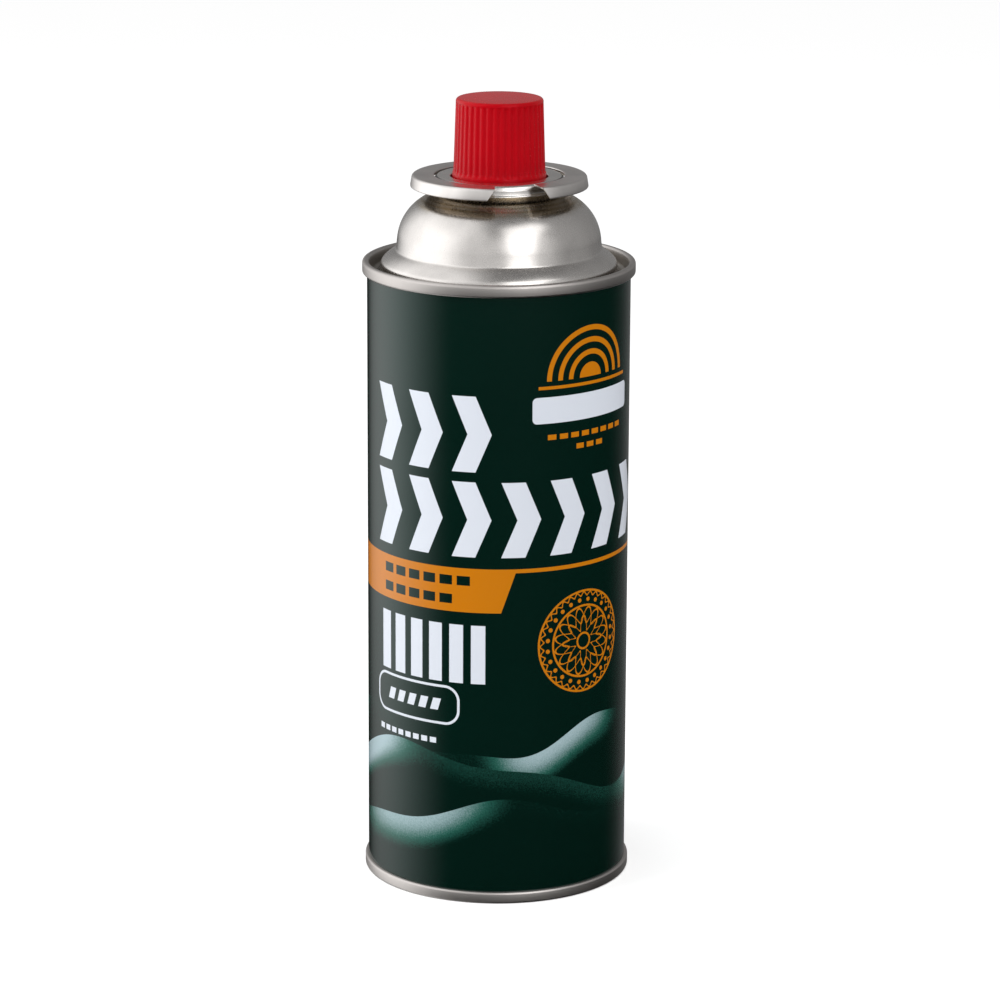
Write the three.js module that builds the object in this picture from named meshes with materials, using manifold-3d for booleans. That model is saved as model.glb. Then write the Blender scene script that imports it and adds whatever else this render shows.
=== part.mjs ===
// Fuel canister: a sealed tinplate can with a spring valve, a notched locating collar and a pull-off cap.
// Millimetres, +Z up. The origin is the centre of the foot ring, and the collar's notch faces -Y.

import * as THREE from 'three';
import { mergeVertices } from 'three/addons/utils/BufferGeometryUtils.js';
import Module from 'manifold-3d';

const wasm = await Module();
wasm.setup();

// Clearances
const touchGap = 0.3; // between pieces that touch on the real can
const stemSealGap = 0.1; // between the stem and the gasket that wipes it
const footClearance = 0.43; // round the cap's foot in the cup's recess

// Can wall and its two double seams
const wallRadius = 32.85;
const wallHeight = 154.55; // from the foot to the underside of the upper seam
const lowerSeamHeight = 3.0;
const lowerSeamProud = 0.85;
const upperSeamHeight = 3.2;
const upperSeamProud = 1.2;
const seamThickness = 1.7;
const seamRounding = 0.6;

// Base end, domed inwards
const baseWallDepth = 4.2;
const baseWallDraft = 0.7;
const baseDomeRise = 5.0;

// Top end: countersink, stepped skirt, dome and neck
const countersinkDepth = 3.45;
const countersinkDraft = 0.6;
const skirtRadius = 29.5;
const skirtWallHeight = 2.2;
const skirtCornerRadius = 2.0;
const skirtCrownRadius = 12.0;
const skirtCrownStart = 43; // degrees from level
const skirtCrownEnd = 61;
const domeRadius = 25.4;
const creaseFillet = 0.8; // inside corner between the skirt and the dome
const domeWallHeight = 1.19; // straight foot of the dome
const domeWallLean = 6; // degrees that the foot leans outwards, going down
const domeRounding = 12.55;
const domeEndAngle = 60; // degrees from level, where the dome turns into the neck
const neckRadius = 15.4;
const neckFillet = 2.0;
const curlRadius = 1.3;

// Valve cup, a stamped sheet rolled over the can's curl
const cupSheet = 0.4;
const cupGasketThickness = 0.45;
const cupRecessRadius = 12.1;
const cupRecessDepth = 4.9;
const cupCornerRadius = 0.6;
const cupRimRadius = 16.3;
const cupRimRounding = 1.5;
const cupRimHeight = 3.0; // from the rim's flat top down to its lower edge
const cupLipHeight = 0.6; // the flared lip along the lower edge
const cupLipFlare = 0.4;
const pedestalRadius = 5.6;
const pedestalHeight = 6.2;
const pedestalHoleClearance = 0.35;

// Locating collar
const collarSheet = 0.5;
const collarRadius = 22.1;
const collarHoleOverlap = 0.1; // how far the collar's hole lies inside the rim's outer radius
const collarSkirtHeight = 2.95;
const collarCornerRadius = 0.8;
const collarSkirtLean = 8; // degrees that the skirt leans outwards, going down
const notchInnerWidth = 9.8;
const notchOuterWidth = 12.1;
const notchFlare = 1.9; // how far each side of the notch slants outwards down the skirt

// Valve inside the cup's pedestal
const stemRadius = 2.0;
const nozzleReach = 4.6; // above the pedestal
const nozzleChamfer = 0.4;
const stemBoreRadius = 0.9;
const stemOrificeRadius = 0.35;
const stemFlangeRadius = 3.2;
const stemFlangeThickness = 1.6;
const stemTailRadius = 1.6;
const stemTailLength = 2.2;
const stemGasketThickness = 0.9;
const housingWall = 1.3;
const housingDepth = 13.0;
const housingFloor = 1.2;
const spigotRadius = 2.0;
const spigotBoreRadius = 1.0;
const spigotLength = 5.0;
const springWireRadius = 0.28;
const springTurns = 6;

// Cap
const capHeight = 23.8;
const capWall = 1.0;
const capTopThickness = 1.2;
const capFootHeight = 4.9;
const capFootStep = 0.27; // from the foot in to the fluted wall
const capDraft = 0.55; // taper of the fluted wall up to the top edge
const capEdgeRadius = 0.8;
const fluteCount = 40;
const fluteDepth = 0.28;
const fluteFootFade = 1.2; // height over which a flute fades out above the foot
const fluteTopFade = 0.6; // and under the top edge's rounding

// Facets
const roundSegments = 48;
const smallSegments = 24;
const pointsPerFlute = 2;
const springStepsPerTurn = 12;

// Heights that follow from the sizes above
const rad = Math.PI / 180;
const upperSeamTop = wallHeight + upperSeamHeight;
const upperSeamRadius = wallRadius + upperSeamProud;
const lowerSeamRadius = wallRadius + lowerSeamProud;
const countersinkFloor = upperSeamTop - countersinkDepth;
const skirtCornerZ = countersinkFloor + skirtWallHeight;
const skirtCornerR = skirtRadius - skirtCornerRadius;
const crownOffset = skirtCornerRadius - skirtCrownRadius;
const crownR = skirtCornerR + crownOffset * Math.cos(skirtCrownStart * rad);
const crownZ = skirtCornerZ + crownOffset * Math.sin(skirtCrownStart * rad);
const creaseZ = crownZ + (skirtCrownRadius + creaseFillet) * Math.sin(skirtCrownEnd * rad);
const domeZ = creaseZ + domeWallHeight;
const domeCentreR = domeRadius - domeRounding;
const domeWallRun = domeRounding + creaseFillet + domeWallHeight * Math.sin(domeWallLean * rad);
const creaseR = domeCentreR + domeWallRun / Math.cos(domeWallLean * rad);
const domeEndR = domeCentreR + domeRounding * Math.cos(domeEndAngle * rad);
const domeEndZ = domeZ + domeRounding * Math.sin(domeEndAngle * rad);
const neckStartR = neckRadius + neckFillet * (1 - Math.cos(domeEndAngle * rad));
const neckRun = (domeEndR - neckStartR) / Math.sin(domeEndAngle * rad);
const neckStartZ = domeEndZ + neckRun * Math.cos(domeEndAngle * rad);
const neckTop = neckStartZ + neckFillet * Math.sin(domeEndAngle * rad);
const curlTop = neckTop + curlRadius;
const pocketRadius = neckRadius - 2 * curlRadius;

const rimTop = curlTop + 2 * touchGap + cupGasketThickness + cupSheet;
const cupFloor = rimTop - cupRecessDepth;
const pedestalTop = cupFloor + pedestalHeight;
const rimCornerR = cupRimRadius - cupRimRounding;
const rimCornerZ = rimTop - cupRimRounding;
const rimBottom = rimTop - cupRimHeight;
const collarHoleRadius = cupRimRadius - collarHoleOverlap;
const collarSeatReach = cupRimRounding + touchGap; // from the rounding's centre to the collar's edge
const collarUnderside = rimCornerZ + Math.sqrt(collarSeatReach ** 2 - (collarHoleRadius - rimCornerR) ** 2);
const collarTop = collarUnderside + collarSheet;

const stemGasketTop = pedestalTop - cupSheet - touchGap;
const stemGasketBottom = stemGasketTop - stemGasketThickness;
const housingTop = stemGasketBottom - touchGap;
const housingRadius = pedestalRadius - cupSheet - touchGap;
const housingInnerRadius = housingRadius - housingWall;
const housingFloorTop = housingTop - housingDepth;
const housingBottom = housingFloorTop - housingFloor;
const spigotBottom = housingBottom - spigotLength;
const flangeTop = stemGasketBottom - touchGap;
const flangeBottom = flangeTop - stemFlangeThickness;
const stemTop = pedestalTop + nozzleReach;
const orificeZ = (stemGasketTop + stemGasketBottom) / 2;

const capFoot = cupFloor + touchGap;
const capTop = capFoot + capHeight;
const capFootRadius = cupRecessRadius - footClearance;
const capBaseRadius = capFootRadius - capFootStep;
const capTopRadius = capBaseRadius - capDraft;

// A point of a profile: distance from the axis, and height
function at(r, z) {
  return new THREE.Vector2(r, z);
}

// Points along an arc, with angles in degrees counted from level outwards
function arc(centreR, centreZ, radius, from, to, steps) {
  const points = [];
  for (let i = 0; i <= steps; i++) {
    const angle = (from + (to - from) * (i / steps)) * rad;
    points.push(at(centreR + radius * Math.cos(angle), centreZ + radius * Math.sin(angle)));
  }
  return points;
}

// Turn a profile about the Z axis
function turned(profile, segments) {
  const geometry = new THREE.LatheGeometry(profile, segments);
  geometry.rotateX(Math.PI / 2);
  return geometry;
}

// Turn a ring's profile, which closes on itself
function turnedRing(profile, segments) {
  return turned([...profile, profile[0].clone()], segments);
}

function toSolid(geometry) {
  const bare = geometry.clone();
  bare.deleteAttribute('normal');
  bare.deleteAttribute('uv');
  const merged = mergeVertices(bare, 1e-4);
  const vertProperties = new Float32Array(merged.attributes.position.array);
  const triVerts = new Uint32Array(merged.index.array);
  return new wasm.Manifold(new wasm.Mesh({ numProp: 3, vertProperties, triVerts }));
}

function toGeometry(solid) {
  const mesh = solid.getMesh();
  const geometry = new THREE.BufferGeometry();
  geometry.setAttribute('position', new THREE.BufferAttribute(mesh.vertProperties, 3));
  geometry.setIndex(new THREE.BufferAttribute(mesh.triVerts, 1));
  geometry.computeVertexNormals();
  return geometry;
}

function part(name, geometry, color, roughness, metalness) {
  const material = new THREE.MeshStandardMaterial({ color, roughness, metalness });
  const mesh = new THREE.Mesh(geometry, material);
  mesh.name = name;
  return mesh;
}

// The base end: a dome pressed inwards, inside a foot ring
function baseProfile() {
  const ringInnerRadius = lowerSeamRadius - seamThickness;
  const domeEdgeRadius = ringInnerRadius - baseWallDraft;
  const sphereRadius = (domeEdgeRadius ** 2 + baseDomeRise ** 2) / (2 * baseDomeRise);
  const edgeAngle = Math.asin(domeEdgeRadius / sphereRadius) / rad;
  const sphereZ = baseWallDepth + baseDomeRise - sphereRadius;
  return [
    ...arc(0, sphereZ, sphereRadius, 90, 90 - edgeAngle, 4),
    at(ringInnerRadius, seamRounding / 2),
    at(ringInnerRadius + seamRounding / 2, 0),
    ...arc(lowerSeamRadius - seamRounding, seamRounding, seamRounding, -90, 0, 2),
    ...arc(lowerSeamRadius - seamRounding, lowerSeamHeight - seamRounding, seamRounding, 0, 60, 1),
    at(wallRadius, lowerSeamHeight),
  ];
}

// The upper double seam and the countersink inside it
function upperSeamProfile() {
  const crestRadius = seamThickness / 2;
  const crestR = upperSeamRadius - crestRadius;
  const seamInnerRadius = upperSeamRadius - seamThickness;
  const grooveRadius = (seamInnerRadius - countersinkDraft - skirtRadius) / 2;
  return [
    at(wallRadius, wallHeight),
    ...arc(upperSeamRadius - seamRounding, wallHeight + seamRounding, seamRounding, -60, 0, 1),
    ...arc(crestR, upperSeamTop - crestRadius, crestRadius, 0, 180, 4),
    ...arc(skirtRadius + grooveRadius, countersinkFloor + grooveRadius, grooveRadius, 0, -180, 4),
  ];
}

// The skirt, the dome and the neck with its rolled curl
function topEndProfile() {
  return [
    ...arc(skirtCornerR, skirtCornerZ, skirtCornerRadius, 0, skirtCrownStart, 2),
    ...arc(crownR, crownZ, skirtCrownRadius, skirtCrownStart, skirtCrownEnd, 3).slice(1),
    ...arc(creaseR, creaseZ, creaseFillet, 180 + skirtCrownEnd, 180 + domeWallLean, 3).slice(1),
    ...arc(domeCentreR, domeZ, domeRounding, domeWallLean, domeEndAngle, 5),
    ...arc(neckRadius + neckFillet, neckTop, neckFillet, 180 + domeEndAngle, 180, 2),
    ...arc(neckRadius - curlRadius, neckTop, curlRadius, 0, 180, 4).slice(1),
  ];
}

// The pocket that the valve fills, down the middle of the neck
function pocketProfile() {
  const housingPocketRadius = housingRadius + touchGap;
  const spigotPocketRadius = spigotRadius + touchGap;
  const cupPocketFloor = cupFloor - cupSheet - touchGap;
  const housingPocketFloor = housingBottom - touchGap;
  const spigotPocketFloor = spigotBottom - touchGap;
  return [
    at(pocketRadius, cupPocketFloor),
    at(housingPocketRadius, cupPocketFloor),
    at(housingPocketRadius, housingPocketFloor),
    at(spigotPocketRadius, housingPocketFloor),
    at(spigotPocketRadius, spigotPocketFloor),
    at(0, spigotPocketFloor),
  ];
}

function can() {
  const profile = [...baseProfile(), ...upperSeamProfile(), ...topEndProfile(), ...pocketProfile()];
  return part('can', turned(profile, roundSegments), 0x0c3024, 0.3, 0.3);
}

function cupGasket() {
  const bottom = curlTop + touchGap;
  const top = bottom + cupGasketThickness;
  const inner = pocketRadius + touchGap;
  const outer = neckRadius - touchGap;
  const profile = [at(inner, bottom), at(outer, bottom), at(outer, top), at(inner, top)];
  return part('cup_gasket', turnedRing(profile, roundSegments), 0x2b2b2b, 0.8, 0);
}

// The cup's upper and lower faces follow each other one sheet apart
function valveCup() {
  const holeRadius = stemRadius + pedestalHoleClearance;
  const recessOuter = cupRecessRadius + cupSheet;
  const pedestalInner = pedestalRadius - cupSheet;
  const lipTop = rimBottom + cupLipHeight;
  const lipOuter = cupRimRadius + cupLipFlare;
  const lipR = cupRecessRadius + cupCornerRadius;
  const lipZ = rimTop - cupCornerRadius;
  const profile = [
    at(pedestalInner, cupFloor - cupSheet),
    at(recessOuter, cupFloor - cupSheet),
    ...arc(lipR, lipZ, cupCornerRadius - cupSheet, 180, 90, 1),
    ...arc(rimCornerR, rimCornerZ, cupRimRounding - cupSheet, 90, 0, 3),
    at(cupRimRadius - cupSheet, lipTop),
    at(lipOuter - cupSheet, rimBottom),
    at(lipOuter, rimBottom),
    at(lipOuter, rimBottom + cupSheet / 2),
    at(cupRimRadius, lipTop),
    ...arc(rimCornerR, rimCornerZ, cupRimRounding, 0, 90, 4),
    ...arc(lipR, lipZ, cupCornerRadius, 90, 180, 2),
    at(cupRecessRadius, cupFloor),
    at(pedestalRadius, cupFloor),
    ...arc(pedestalRadius - cupCornerRadius, pedestalTop - cupCornerRadius, cupCornerRadius, 0, 90, 2),
    at(holeRadius, pedestalTop),
    at(holeRadius, pedestalTop - cupSheet),
    at(pedestalInner, pedestalTop - cupSheet),
  ];
  return part('valve_cup', turnedRing(profile, roundSegments), 0xc9c6c0, 0.3, 0.95);
}

// The notch's cutter: wider outwards, with sides that slant apart down the skirt
function notchCutter() {
  const margin = 2;
  const half = notchOuterWidth / 2;
  const skirtBottom = collarTop - collarSkirtHeight;
  const low = skirtBottom - margin;
  const high = collarTop + margin;
  const shape = new THREE.Shape();
  shape.moveTo(-half - notchFlare, low);
  shape.lineTo(half + notchFlare, low);
  shape.lineTo(half + notchFlare, skirtBottom);
  shape.lineTo(half, collarTop);
  shape.lineTo(half, high);
  shape.lineTo(-half, high);
  shape.lineTo(-half, collarTop);
  shape.lineTo(-half - notchFlare, skirtBottom);
  shape.closePath();
  const inner = collarHoleRadius - margin;
  const outer = collarRadius + margin;
  const geometry = new THREE.ExtrudeGeometry(shape, {
    depth: outer - inner,
    bevelEnabled: false,
  });
  geometry.rotateX(Math.PI / 2);
  geometry.translate(0, -inner, 0);
  const taper = (notchOuterWidth - notchInnerWidth) / (collarRadius - collarHoleRadius);
  const position = geometry.attributes.position;
  for (let i = 0; i < position.count; i++) {
    const reach = -position.getY(i);
    const width = notchInnerWidth + taper * (reach - collarHoleRadius);
    position.setX(i, position.getX(i) * (width / notchOuterWidth));
  }
  return geometry;
}

function locatingCollar() {
  const skirtBottom = collarTop - collarSkirtHeight;
  const cornerZ = collarTop - collarCornerRadius;
  const lean = collarSkirtLean * rad;
  const skirtTopRadius = collarRadius - (cornerZ - skirtBottom) * Math.tan(lean);
  const cornerR = skirtTopRadius - collarCornerRadius / Math.cos(lean);
  const profile = [
    at(collarHoleRadius, collarUnderside),
    ...arc(cornerR, cornerZ, collarCornerRadius - collarSheet, 90, collarSkirtLean, 1),
    at(collarRadius - collarSheet / Math.cos(lean), skirtBottom),
    at(collarRadius, skirtBottom),
    ...arc(cornerR, cornerZ, collarCornerRadius, collarSkirtLean, 90, 3),
    at(collarHoleRadius, collarTop),
  ];
  const ring = toSolid(turnedRing(profile, roundSegments));
  const notched = ring.subtract(toSolid(notchCutter()));
  return part('locating_collar', toGeometry(notched), 0xd2cfca, 0.32, 0.95);
}

function stemGasket() {
  const inner = stemRadius + stemSealGap;
  const profile = [
    at(inner, stemGasketBottom),
    at(housingRadius, stemGasketBottom),
    at(housingRadius, stemGasketTop),
    at(inner, stemGasketTop),
  ];
  return part('stem_gasket', turnedRing(profile, smallSegments), 0x222222, 0.85, 0);
}

function valveHousing() {
  const profile = [
    at(spigotBoreRadius, spigotBottom),
    at(spigotRadius, spigotBottom),
    at(spigotRadius, housingBottom),
    at(housingRadius, housingBottom),
    at(housingRadius, housingTop),
    at(housingInnerRadius, housingTop),
    at(housingInnerRadius, housingFloorTop),
    at(spigotBoreRadius, housingFloorTop),
  ];
  return part('valve_housing', turnedRing(profile, smallSegments), 0xe8e4da, 0.5, 0);
}

// An open-ended helix that stands between the housing's floor and the stem's flange
function valveSpring() {
  const bottom = housingFloorTop + touchGap + springWireRadius;
  const top = flangeBottom - touchGap - springWireRadius;
  const helixRadius = stemTailRadius + (housingInnerRadius - stemTailRadius) / 2;
  const curve = new THREE.Curve();
  curve.getPoint = (t, target = new THREE.Vector3()) => {
    const angle = t * springTurns * 2 * Math.PI;
    return target.set(
      helixRadius * Math.cos(angle),
      helixRadius * Math.sin(angle),
      bottom + (top - bottom) * t,
    );
  };
  const section = new THREE.Shape();
  section.absarc(0, 0, springWireRadius, 0, 2 * Math.PI, false);
  const geometry = new THREE.ExtrudeGeometry(section, {
    steps: springTurns * springStepsPerTurn,
    extrudePath: curve,
    curveSegments: 4,
  });
  return part('valve_spring', geometry, 0xb8b8b8, 0.3, 1);
}

// The stem: an open nozzle, a flange under the gasket and a tail that centres the spring
function valveStem() {
  const boreBottom = orificeZ - stemBoreRadius;
  const profile = [
    at(0, flangeBottom - stemTailLength),
    at(stemTailRadius, flangeBottom - stemTailLength),
    at(stemTailRadius, flangeBottom),
    at(stemFlangeRadius, flangeBottom),
    at(stemFlangeRadius, flangeTop),
    at(stemRadius, flangeTop),
    at(stemRadius, stemTop - nozzleChamfer),
    at(stemRadius - nozzleChamfer, stemTop),
    at(stemBoreRadius, stemTop),
    at(stemBoreRadius, boreBottom),
    at(0, boreBottom),
  ];
  const orifice = new THREE.CylinderGeometry(stemOrificeRadius, stemOrificeRadius, 3 * stemRadius, 8);
  orifice.rotateZ(Math.PI / 2);
  orifice.translate(0, 0, orificeZ);
  const solid = toSolid(turned(profile, smallSegments)).subtract(toSolid(orifice));
  return part('valve_stem', toGeometry(solid), 0xf0eee8, 0.45, 0);
}

// How much of a flute's depth is cut at a height: full along the wall, none at the foot and the top edge
function fluteShare(z) {
  const low = capFoot + capFootHeight;
  const high = capTop - capEdgeRadius;
  const fade = Math.min((z - low) / fluteFootFade, (high - z) / fluteTopFade);
  return Math.max(0, Math.min(1, fade));
}

// Press upright flutes into the outer wall of the turned cap
function flute(geometry) {
  const position = geometry.attributes.position;
  for (let i = 0; i < position.count; i++) {
    const x = position.getX(i);
    const y = position.getY(i);
    const radius = Math.hypot(x, y);
    const onOuterWall = radius > capTopRadius - capWall / 2;
    if (!onOuterWall) continue;
    const wave = 0.5 - 0.5 * Math.cos(Math.atan2(y, x) * fluteCount);
    const cut = fluteDepth * fluteShare(position.getZ(i)) * wave;
    position.setX(i, x * (1 - cut / radius));
    position.setY(i, y * (1 - cut / radius));
  }
  geometry.computeVertexNormals();
}

function cap() {
  const footTop = capFoot + capFootHeight;
  const wallTop = capTop - capEdgeRadius;
  const wallFoot = footTop + fluteFootFade;
  const fluteTop = wallTop - fluteTopFade;
  const wallSlope = (capTopRadius - capBaseRadius) / (wallTop - wallFoot);
  const profile = [
    at(0, capTop - capTopThickness),
    at(capTopRadius - capWall - capEdgeRadius / 2, capTop - capTopThickness),
    at(capTopRadius - capWall, capTop - capTopThickness - capEdgeRadius / 2),
    at(capFootRadius - capWall, capFoot),
    at(capFootRadius, capFoot),
    at(capFootRadius, footTop),
    at(capBaseRadius, wallFoot),
    at(capTopRadius - wallSlope * fluteTopFade, fluteTop),
    ...arc(capTopRadius - capEdgeRadius, wallTop, capEdgeRadius, 0, 90, 3),
    at(0, capTop),
  ];
  const geometry = turned(profile, fluteCount * pointsPerFlute);
  flute(geometry);
  return part('cap', geometry, 0xb4121c, 0.5, 0);
}

const canister = new THREE.Group();
canister.add(
  can(),
  cupGasket(),
  valveCup(),
  locatingCollar(),
  valveHousing(),
  stemGasket(),
  valveSpring(),
  valveStem(),
  cap(),
);

export default canister;
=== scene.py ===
# Looks of the fuel canister: turned tinplate and lacquer, a fluted cap, generic print, studio light.
# Metres, in the part's own frame: +Z up, the collar's notch on -Y.

import math

import bpy
from mathutils import Matrix, Vector


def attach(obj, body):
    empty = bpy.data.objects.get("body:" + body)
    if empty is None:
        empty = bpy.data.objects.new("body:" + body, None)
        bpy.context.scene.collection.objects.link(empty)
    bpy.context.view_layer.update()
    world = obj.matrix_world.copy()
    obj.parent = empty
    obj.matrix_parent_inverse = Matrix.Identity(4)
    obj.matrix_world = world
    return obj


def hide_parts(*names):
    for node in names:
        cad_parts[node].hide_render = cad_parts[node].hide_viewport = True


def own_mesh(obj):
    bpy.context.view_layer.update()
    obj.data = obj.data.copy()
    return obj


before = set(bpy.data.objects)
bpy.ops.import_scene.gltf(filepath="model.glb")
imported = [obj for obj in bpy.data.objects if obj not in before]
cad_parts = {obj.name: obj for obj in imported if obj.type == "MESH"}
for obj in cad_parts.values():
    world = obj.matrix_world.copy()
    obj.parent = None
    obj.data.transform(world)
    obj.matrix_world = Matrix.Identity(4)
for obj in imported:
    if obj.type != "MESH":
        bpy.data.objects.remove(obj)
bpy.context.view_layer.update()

MM = 0.001
TAU = 2 * math.pi

# Camera, as the photograph has it
VIEW_AZIMUTH = math.radians(-13.3)
VIEW_ELEVATION = math.radians(14.406)
VIEW_ROLL = math.radians(0.257)
VIEW_DISTANCE = 1058.5 * MM
VIEW_TARGET_RIGHT = 0.516 * MM
VIEW_TARGET_HEIGHT = 95.81 * MM
LENS_MM = 150.97
SENSOR_MM = 36.0

# Can, in millimetres, with the part's own sizes
TOUCH_GAP = 0.3
WALL_RADIUS = 32.85
WALL_HEIGHT = 154.55
LOWER_SEAM_HEIGHT = 3.0
LOWER_SEAM_RADIUS = WALL_RADIUS + 0.85
UPPER_SEAM_HEIGHT = 3.2
UPPER_SEAM_RADIUS = WALL_RADIUS + 1.2
SEAM_THICKNESS = 1.7
SEAM_ROUNDING = 0.6
BASE_WALL_DEPTH = 4.2
BASE_WALL_DRAFT = 0.7
BASE_DOME_RISE = 5.0
COUNTERSINK_DEPTH = 3.45
COUNTERSINK_DRAFT = 0.6
SKIRT_RADIUS = 29.5
SKIRT_WALL_HEIGHT = 2.2
SKIRT_CORNER_RADIUS = 2.0
SKIRT_CROWN_RADIUS = 12.0
SKIRT_CROWN_START = 43
SKIRT_CROWN_END = 61
DOME_RADIUS = 25.4
CREASE_FILLET = 0.8
DOME_WALL_HEIGHT = 1.19
DOME_WALL_LEAN = 6
DOME_ROUNDING = 12.55
DOME_END_ANGLE = 60
NECK_RADIUS = 15.4
NECK_FILLET = 2.0
CURL_RADIUS = 1.3
END_SHEET = 0.3

# Valve cup and collar
CUP_SHEET = 0.4
CUP_GASKET_THICKNESS = 0.45
CUP_RECESS_RADIUS = 12.1
CUP_RECESS_DEPTH = 4.9
CUP_CORNER_RADIUS = 0.6
CUP_RIM_RADIUS = 16.3
CUP_RIM_ROUNDING = 1.5
CUP_RIM_HEIGHT = 3.0
CUP_LIP_HEIGHT = 0.6
CUP_LIP_FLARE = 0.4
PEDESTAL_RADIUS = 5.6
PEDESTAL_HEIGHT = 6.2
STEM_RADIUS = 2.0
PEDESTAL_HOLE_CLEARANCE = 0.35
COLLAR_SHEET = 0.5
COLLAR_RADIUS = 22.1
COLLAR_HOLE_OVERLAP = 0.1
COLLAR_SKIRT_HEIGHT = 2.95
COLLAR_CORNER_RADIUS = 0.8
COLLAR_SKIRT_LEAN = 8
NOTCH_INNER_WIDTH = 9.8
NOTCH_OUTER_WIDTH = 12.1
NOTCH_FLARE = 1.9

# Valve stem and spring
STEM_TRAVEL = 1.5
NOZZLE_REACH = 4.6
NOZZLE_CHAMFER = 0.4
STEM_BORE_RADIUS = 0.9
STEM_FLANGE_RADIUS = 3.2
STEM_FLANGE_THICKNESS = 1.6
STEM_TAIL_RADIUS = 1.6
STEM_TAIL_LENGTH = 2.2
STEM_GASKET_THICKNESS = 0.9
HOUSING_WALL = 1.3
HOUSING_DEPTH = 13.0
SPRING_WIRE_RADIUS = 0.28
SPRING_TURNS = 6

# Cap
CAP_HEIGHT = 23.8
CAP_WALL = 1.0
CAP_TOP_THICKNESS = 1.2
CAP_FOOT_HEIGHT = 4.9
CAP_FOOT_CLEARANCE = 0.43
CAP_FOOT_STEP = 0.27
CAP_DRAFT = 0.55
CAP_EDGE_RADIUS = 0.8
FLUTE_COUNT = 40
FLUTE_DEPTH = 0.28
FLUTE_FOOT_FADE = 1.2
FLUTE_TOP_FADE = 0.6
POINTS_PER_FLUTE = 12

ROUND_STEPS = 256

# Breadth that keeps two sheets apart where they meet, and the inset of unseen inner corners
HAIR = 0.01
HIDDEN_INSET = 1.0

# Colours, as linear red, green and blue
BARE_TIN = (0.72, 0.69, 0.665)
CUP_TIN = (0.84, 0.81, 0.78)
COLLAR_TIN = (0.79, 0.755, 0.73)
WIRE_STEEL = (0.62, 0.62, 0.62)
SEAM_DULL = (0.54, 0.51, 0.49)
# Painted shade round the neck under the collar, tinted warm brown
NECK_PAINTED_SHADE = (0.40, 0.33, 0.23)
# Painted shade in the countersink groove
GROOVE_PAINTED_SHADE = (0.20, 0.18, 0.15)
# Painted shade in the gap where the cup's rim runs under the collar
RIM_PAINTED_SHADE = (0.05, 0.045, 0.04)
NATURAL_PLASTIC = (0.82, 0.80, 0.75)
NATURAL_PLASTIC_DEEP = (0.78, 0.76, 0.70)
CAP_RED = (0.50, 0.0002, 0.005)
CAP_RED_DEEP = (0.44, 0.0002, 0.004)
CAP_SHEEN = (1.0, 0.32, 0.4)
RUBBER_BLACK = (0.03, 0.03, 0.032)
RUBBER_WORN = (0.06, 0.06, 0.06)
GREEN = (0.0003, 0.0112, 0.0072)
WHITE = (0.76, 0.80, 0.88)
ORANGE = (0.62, 0.195, 0.0008)
TEAL = (0.02, 0.12, 0.09)
MIST = (0.42, 0.56, 0.60)
LACQUER_SHEEN = (0.84, 1.0, 0.98)
BARE_MARGIN = (0.36, 0.34, 0.31)
WELD_GREY = (0.12, 0.115, 0.11)
FLOOR_PALE = (0.94, 0.94, 0.94)
FLOOR_FIBRE = (0.96, 0.96, 0.96)

# Heights that follow
RAD = math.pi / 180
UPPER_SEAM_TOP = WALL_HEIGHT + UPPER_SEAM_HEIGHT
COUNTERSINK_FLOOR = UPPER_SEAM_TOP - COUNTERSINK_DEPTH
SKIRT_CORNER_Z = COUNTERSINK_FLOOR + SKIRT_WALL_HEIGHT
SKIRT_CORNER_R = SKIRT_RADIUS - SKIRT_CORNER_RADIUS
CROWN_OFFSET = SKIRT_CORNER_RADIUS - SKIRT_CROWN_RADIUS
CROWN_R = SKIRT_CORNER_R + CROWN_OFFSET * math.cos(SKIRT_CROWN_START * RAD)
CROWN_Z = SKIRT_CORNER_Z + CROWN_OFFSET * math.sin(SKIRT_CROWN_START * RAD)
CREASE_Z = CROWN_Z + (SKIRT_CROWN_RADIUS + CREASE_FILLET) * math.sin(SKIRT_CROWN_END * RAD)
DOME_Z = CREASE_Z + DOME_WALL_HEIGHT
DOME_CENTRE_R = DOME_RADIUS - DOME_ROUNDING
DOME_WALL_RUN = DOME_ROUNDING + CREASE_FILLET + DOME_WALL_HEIGHT * math.sin(DOME_WALL_LEAN * RAD)
CREASE_R = DOME_CENTRE_R + DOME_WALL_RUN / math.cos(DOME_WALL_LEAN * RAD)
DOME_END_R = DOME_CENTRE_R + DOME_ROUNDING * math.cos(DOME_END_ANGLE * RAD)
DOME_END_Z = DOME_Z + DOME_ROUNDING * math.sin(DOME_END_ANGLE * RAD)
NECK_START_R = NECK_RADIUS + NECK_FILLET * (1 - math.cos(DOME_END_ANGLE * RAD))
NECK_RUN = (DOME_END_R - NECK_START_R) / math.sin(DOME_END_ANGLE * RAD)
NECK_START_Z = DOME_END_Z + NECK_RUN * math.cos(DOME_END_ANGLE * RAD)
NECK_TOP = NECK_START_Z + NECK_FILLET * math.sin(DOME_END_ANGLE * RAD)
CURL_TOP = NECK_TOP + CURL_RADIUS
RIM_TOP = CURL_TOP + 2 * TOUCH_GAP + CUP_GASKET_THICKNESS + CUP_SHEET
CUP_FLOOR = RIM_TOP - CUP_RECESS_DEPTH
PEDESTAL_TOP = CUP_FLOOR + PEDESTAL_HEIGHT
RIM_CORNER_R = CUP_RIM_RADIUS - CUP_RIM_ROUNDING
RIM_CORNER_Z = RIM_TOP - CUP_RIM_ROUNDING
RIM_BOTTOM = RIM_TOP - CUP_RIM_HEIGHT
COLLAR_HOLE_RADIUS = CUP_RIM_RADIUS - COLLAR_HOLE_OVERLAP
COLLAR_SEAT_REACH = CUP_RIM_ROUNDING + TOUCH_GAP
COLLAR_SEAT_RUN = COLLAR_HOLE_RADIUS - RIM_CORNER_R
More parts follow.
